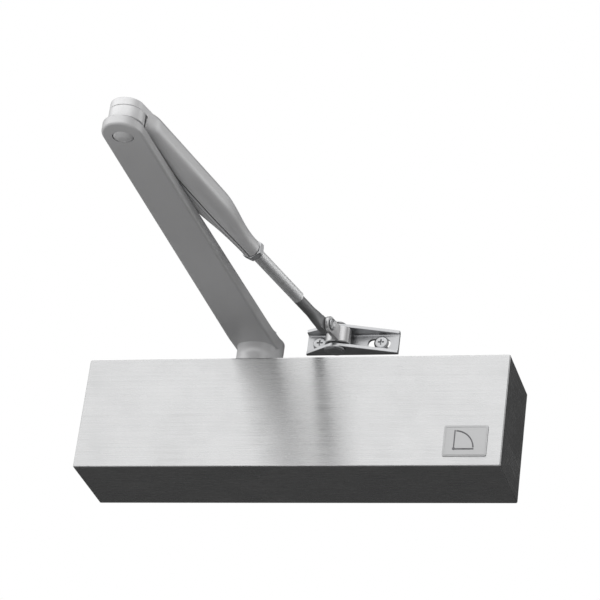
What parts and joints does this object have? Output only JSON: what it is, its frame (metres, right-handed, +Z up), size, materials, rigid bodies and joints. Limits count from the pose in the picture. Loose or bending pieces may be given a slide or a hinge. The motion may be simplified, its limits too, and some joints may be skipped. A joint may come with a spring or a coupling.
{
  "type": "door closer",
  "caption": "Overhead rack-and-pinion door closer in a full brushed sheet cover, with a main arm, an adjustable forearm and a frame shoe; it shuts a hinged door by spring.",
  "frame": {"origin": "middle of the mounting plate's back face, which lies on the door", "axes": "+X along the cover, -Y away from the door towards the room, +Z up"},
  "size_m": [0.254, 0.2853, 0.1071],
  "materials": {
    "stainless": "fine brushed stainless sheet, grain along the length",
    "label_foil": "satin silver foil plate",
    "silver_paint": "satin silver paint",
    "zinc": "bright zinc plating",
    "steel": "turned steel",
    "spring_steel": "blackened spring steel",
    "cast": "as-cast aluminium",
    "bronze": "sintered bronze",
    "brass": "turned brass",
    "rubber": "black nitrile"
  },
  "bodies": {
    "closer_body": {"cover": "stainless", "label_plate": "label_foil", "mounting_plate": "zinc", "cover_clip_left": "spring_steel", "cover_clip_right": "spring_steel", "housing": "cast", "end_plug_left": "steel", "end_plug_right": "steel", "end_plug_seal_left": "rubber", "end_plug_seal_right": "rubber", "body_screw_lower_left": "steel", "body_screw_lower_right": "steel", "body_screw_upper_left": "steel", "body_screw_upper_right": "steel", "bearing_lower": "bronze", "bearing_upper": "bronze", "gland_nut_lower": "steel", "gland_nut_upper": "steel", "spindle_seal_lower": "rubber", "spindle_seal_upper": "rubber", "closing_spring_outer": "spring_steel", "closing_spring_inner": "spring_steel"},
    "main_arm": {"pinion": "steel", "main_arm": "silver_paint", "arm_washer": "zinc", "arm_screw": "zinc", "elbow_rivet": "zinc", "elbow_spacer": "silver_paint"},
    "piston": {"piston": "steel", "check_retainer": "brass"},
    "check_ball": {"check_ball": "steel"},
    "closing_valve": {"closing_valve": "brass"},
    "latching_valve": {"latching_valve": "brass"},
    "backcheck_valve": {"backcheck_valve": "brass"},
    "forearm": {"forearm": "silver_paint"},
    "adjusting_rod": {"adjusting_rod": "zinc"},
    "lock_nut": {"lock_nut": "zinc"},
    "knuckle": {"knuckle": "silver_paint", "knuckle_rivet": "zinc"},
    "shoe": {"shoe_bracket": "zinc", "shoe_pin": "zinc", "shoe_screw_left": "zinc", "shoe_screw_right": "zinc"}
  },
  "joints": [
    {"name": "pinion_turn", "type": "hinge", "parent": "closer_body", "child": "main_arm", "pos_m": [-0.03, -0.025, 0], "axis": [0, 0, 1], "range_deg": [0, 160], "stiffness_Nm_per_rad": 4, "springref_deg": -143.24},
    {"name": "piston_slide", "type": "slide", "parent": "closer_body", "child": "piston", "axis": [1, 0, 0], "range_m": [0, 0.0275], "deforming": ["closing_spring_outer", "closing_spring_inner"]},
    {"name": "check_ball_lift", "type": "slide", "parent": "piston", "child": "check_ball", "axis": [1, 0, 0], "range_m": [0, 0.0012]},
    {"name": "elbow_turn", "type": "hinge", "parent": "main_arm", "child": "forearm", "pos_m": [-0.0365, -0.2715, 0.063], "axis": [0, 0, 1], "range_deg": [-150, 0]},
    {"name": "rod_length", "type": "slide", "parent": "forearm", "child": "adjusting_rod", "axis": [0.1948, 0.9808, 0], "range_m": [0, 0.03]},
    {"name": "lock_nut_turn", "type": "hinge", "parent": "adjusting_rod", "child": "lock_nut", "pos_m": [-0.00785, -0.12722, 0.063], "axis": [0.1948, 0.9808, 0], "continuous": true},
    {"name": "knuckle_tilt", "type": "hinge", "parent": "adjusting_rod", "child": "knuckle", "pos_m": [0.01028, -0.03589, 0.063], "axis": [-0.9808, 0.1948, 0], "range_deg": [-15, 15]},
    {"name": "shoe_turn", "type": "hinge", "parent": "knuckle", "child": "shoe", "pos_m": [0.0134, -0.0202, 0.063], "axis": [0, 0, 1], "range_deg": [-34, 68]},
    {"name": "closing_valve_turn", "type": "hinge", "parent": "closer_body", "child": "closing_valve", "pos_m": [-0.08, -0.04, 0.023], "axis": [0, -1, 0], "range_deg": [0, 720]},
    {"name": "latching_valve_turn", "type": "hinge", "parent": "closer_body", "child": "latching_valve", "pos_m": [-0.066, -0.04, 0.023], "axis": [0, -1, 0], "range_deg": [0, 720]},
    {"name": "backcheck_valve_turn", "type": "hinge", "parent": "closer_body", "child": "backcheck_valve", "pos_m": [0.04, -0.04, 0.023], "axis": [0, -1, 0], "range_deg": [0, 720]}
  ],
  "couplings": [
    {"joint": "piston_slide", "follows": "pinion_turn", "m_per_rad": 0.0096}
  ]
}
